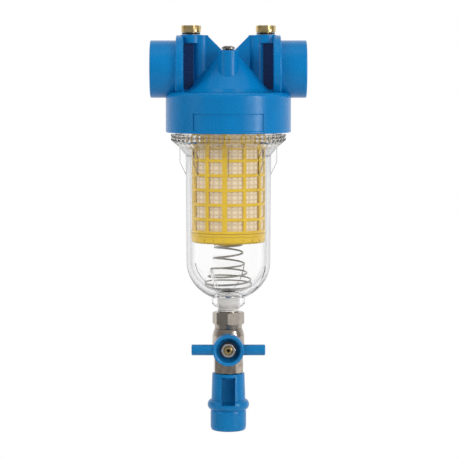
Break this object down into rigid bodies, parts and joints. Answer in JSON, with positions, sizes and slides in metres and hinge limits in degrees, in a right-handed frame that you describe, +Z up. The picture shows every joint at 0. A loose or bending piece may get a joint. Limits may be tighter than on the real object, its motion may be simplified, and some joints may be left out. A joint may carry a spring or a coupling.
{
  "type": "self cleaning filter",
  "caption": "In-line water filter: blue head between two pipe sockets, clear bowl with a spring held cage cartridge, ball drain valve and an open drain funnel.",
  "frame": {"origin": "the point where the axis of the two pipe sockets crosses the upright axis of the bowl", "axes": "+X along the pipe towards the outlet socket, +Z up, -Y to the front, where the vent screw and the valve handle are"},
  "size_m": [0.1472, 0.1182, 0.3841],
  "materials": {
    "blue_polypropylene": "satin moulded",
    "clear_bowl_plastic": "clear polished",
    "yellow_plastic": "satin moulded",
    "net_cloth": "fine plastic net",
    "black_rubber": "matt",
    "brass": "turned",
    "nickel_plate": "satin nickel",
    "spring_steel": "drawn wire",
    "white_seat_plastic": "smooth"
  },
  "bodies": {
    "head": {"filter_head": "blue_polypropylene", "left_gauge_plug": "brass", "right_gauge_plug": "brass", "left_plug_seal": "black_rubber", "right_plug_seal": "black_rubber"},
    "vent_ring": {"vent_seal": "black_rubber"},
    "vent": {"vent_screw": "nickel_plate"},
    "bowl_ring": {"bowl_seal": "black_rubber"},
    "bowl_group": {"bowl": "clear_bowl_plastic", "cartridge_spring": "spring_steel", "valve_end_piece": "nickel_plate", "valve_body": "nickel_plate", "upper_ball_seat": "white_seat_plastic", "lower_ball_seat": "white_seat_plastic", "stem_packing": "white_seat_plastic", "gland_nut": "brass", "drain_funnel": "blue_polypropylene", "funnel_gasket": "black_rubber"},
    "cartridge": {"cartridge_cage": "yellow_plastic", "filter_net": "net_cloth", "cartridge_bottom_cap": "yellow_plastic", "cartridge_top_cap": "yellow_plastic", "cartridge_seal": "black_rubber"},
    "handle": {"valve_handle": "blue_polypropylene", "handle_washer": "nickel_plate", "handle_nut": "nickel_plate", "valve_stem": "brass", "valve_ball": "spring_steel"}
  },
  "joints": [
    {"name": "vent_rise", "type": "slide", "parent": "head", "child": "vent_ring", "axis": [0, 0, 1], "range_m": [0, 0.003]},
    {"name": "vent_turn", "type": "hinge", "parent": "vent_ring", "child": "vent", "pos_m": [0, -0.0188, 0.0175], "axis": [0, 0, 1], "range_deg": [0, 1080]},
    {"name": "bowl_drop", "type": "slide", "parent": "head", "child": "bowl_ring", "axis": [0, 0, 1], "range_m": [-0.0161, 0]},
    {"name": "bowl_turn", "type": "hinge", "parent": "bowl_ring", "child": "bowl_group", "pos_m": [0, 0, -0.05], "axis": [0, 0, 1], "range_deg": [-1440, 0]},
    {"name": "cartridge_push", "type": "slide", "parent": "bowl_group", "child": "cartridge", "axis": [0, 0, 1], "range_m": [-0.01, 0], "stiffness_N_per_m": 400, "springref_m": 0.02, "deforming": ["cartridge_spring"]},
    {"name": "drain_valve_turn", "type": "hinge", "parent": "bowl_group", "child": "handle", "pos_m": [0, -0.0288, -0.2626], "axis": [0, -1, 0], "range_deg": [0, 90]}
  ],
  "couplings": [
    {"joint": "vent_turn", "follows": "vent_rise", "rad_per_m": 6283.2},
    {"joint": "bowl_drop", "follows": "bowl_turn", "m_per_rad": 0.00063662}
  ]
}
